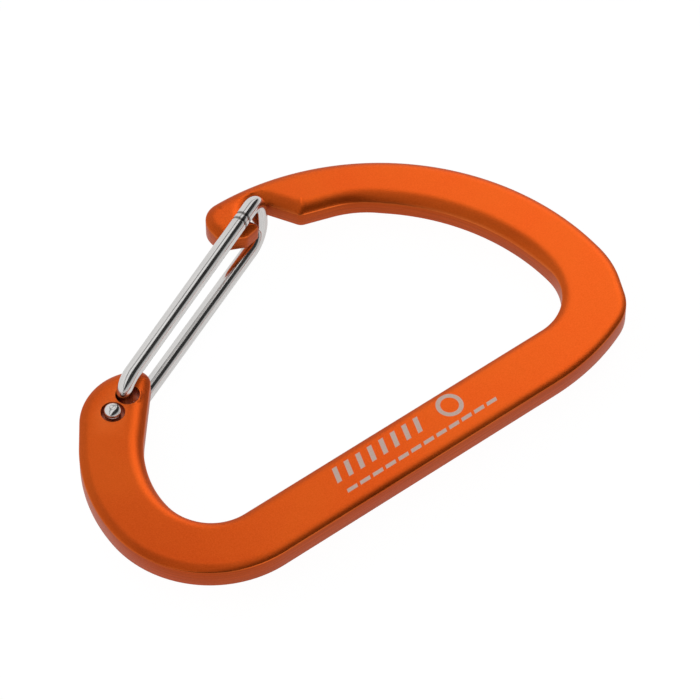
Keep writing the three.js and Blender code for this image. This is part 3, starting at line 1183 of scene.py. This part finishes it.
def lay_floor(settings):
    """A plain white floor, brighter to the camera than to the metal above it."""
    half = settings.floor_size / 2
    data = bpy.data.meshes.new("floor")
    corners = [(-half, -half, 0), (half, -half, 0), (half, half, 0), (-half, half, 0)]
    data.from_pydata(corners, [], [(0, 1, 2, 3)])
    material = bpy.data.materials.new("White floor")
    material.use_nodes = True
    tree = material.node_tree
    tree.nodes.remove(tree.nodes["Principled BSDF"])
    out = tree.nodes["Material Output"]
    matt = add_node(tree, "ShaderNodeBsdfDiffuse", inputs={"Color": FLOOR_WHITE})
    glow = add_node(
        tree, "ShaderNodeEmission", inputs={"Color": (1, 1, 1, 1), "Strength": FLOOR_BRIGHTNESS}
    )
    seen = add_node(tree, "ShaderNodeLightPath").outputs["Is Camera Ray"]
    own_share = remapped(tree, seen, 0, 1, FLOOR_GLOW, FLOOR_GLOW_SEEN)
    mix = add_node(
        tree,
        "ShaderNodeMixShader",
        inputs={0: own_share, 1: matt.outputs[0], 2: glow.outputs[0]},
    )
    tree.links.new(mix.outputs[0], out.inputs["Surface"])
    data.materials.append(material)
    floor = linked("floor", data)


def light_surroundings(settings):
    """Soft white surroundings with one broad dark band and one narrow one over the gate."""
    world = bpy.data.worlds.new("Soft studio")
    bpy.context.scene.world = world
    world.use_nodes = True
    tree = world.node_tree
    background = tree.nodes["Background"]
    way = add_node(tree, "ShaderNodeTexCoord").outputs["Generated"]
    outward = add_node(
        tree,
        "ShaderNodeVectorMath",
        operation="DOT_PRODUCT",
        inputs={0: way, 1: (*GATE_OUTWARD, 0)},
    ).outputs["Value"]
    up = add_node(tree, "ShaderNodeSeparateXYZ", inputs={0: way}).outputs["Z"]
    angle = maths(tree, "ARCTAN2", up, outward)
    share = remapped(tree, angle, 0, 2 * math.pi, 0, 1)
    ramp = add_node(tree, "ShaderNodeValToRGB", inputs={0: share})
    steps = ramp.color_ramp.elements
    steps.remove(steps[-1])
    steps[0].position, bright = SKY_BANDS[0]
    steps[0].color = (bright, bright, bright, 1)
    for at, bright in SKY_BANDS[1:]:
        steps.new(at).color = (bright, bright, bright, 1)
    tree.links.new(ramp.outputs[0], background.inputs["Color"])
    background.inputs["Strength"].default_value = settings.sky_strength


def area_light(name, place, target, power):
    """A square soft light, kept to the plate so that the wire has only the surroundings."""
    data = bpy.data.lights.new(name, "AREA")
    data.shape = "SQUARE"
    data.size = LAMP_SIZE
    data.energy = power
    data.color = LAMP_COLOUR
    lamp = linked(name, data)
    lamp.location = place
    lamp.rotation_euler = (Vector(place) - Vector(target)).to_track_quat("Z", "Y").to_euler()
    lamp.light_linking.receiver_collection = lamp_lit_collection()


class CARABINER_OT_stage(bpy.types.Operator):
    """Make the floor, the light and the camera"""

    bl_idname = "carabiner.stage"
    bl_label = "Stage"

    def execute(self, context):
        settings = context.scene.carabiner_stage
        lay_floor(settings)
        light_surroundings(settings)
        area_light("key light", KEY_PLACE, KEY_TARGET, settings.key_power)
        area_light("fill light", FILL_PLACE, FILL_TARGET, settings.fill_power)
        context.scene.view_settings.view_transform = "Standard"
        data = bpy.data.cameras.new("camera")
        data.lens = settings.lens
        data.sensor_width = SENSOR_WIDTH
        data.clip_start = NEAREST_SEEN
        camera = linked("camera", data)
        camera.location = AIM + CAMERA_BACK.normalized() * settings.distance
        camera.rotation_euler = CAMERA_BACK.to_track_quat("Z", "Y").to_euler()
        context.scene.camera = camera
        return {"FINISHED"}


class CARABINER_PT_sidebar(bpy.types.Panel):
    """Lists the carabiner's pieces and their settings"""

    bl_idname = "CARABINER_PT_sidebar"
    bl_label = "Flat key carabiner"
    bl_space_type = "VIEW_3D"
    bl_region_type = "UI"
    bl_category = "Carabiner"

    def draw(self, context):
        for maker, name in MAKERS:
            column = self.layout.column()
            column.operator(maker.bl_idname)
            settings = getattr(context.scene, name)
            for field in settings.bl_rna.properties.keys():
                if field not in ("rna_type", "name"):
                    column.prop(settings, field)


MAKERS = (
    (CARABINER_OT_stage, "carabiner_stage"),
    (CARABINER_OT_plate, "carabiner_plate"),
    (CARABINER_OT_gate, "carabiner_gate"),
)
SETTINGS = (
    (CARABINER_PG_stage, "carabiner_stage"),
    (CARABINER_PG_plate, "carabiner_plate"),
    (CARABINER_PG_gate, "carabiner_gate"),
)


def register():
    """Registers the settings, the makers and the panel."""
    for group, name in SETTINGS:
        bpy.utils.register_class(group)
        setattr(bpy.types.Scene, name, bpy.props.PointerProperty(type=group))
    for maker, _ in MAKERS:
        bpy.utils.register_class(maker)
    bpy.utils.register_class(CARABINER_PT_sidebar)


def unregister():
    """Takes out all that register put in."""
    bpy.utils.unregister_class(CARABINER_PT_sidebar)
    for maker, _ in reversed(MAKERS):
        bpy.utils.unregister_class(maker)
    for group, name in reversed(SETTINGS):
        delattr(bpy.types.Scene, name)
        bpy.utils.unregister_class(group)


def main():
    """Makes the stage and the pieces."""
    register()
    bpy.ops.carabiner.stage()
    bpy.ops.carabiner.plate()
    bpy.ops.carabiner.gate()


if __name__ == "__main__":
    main()
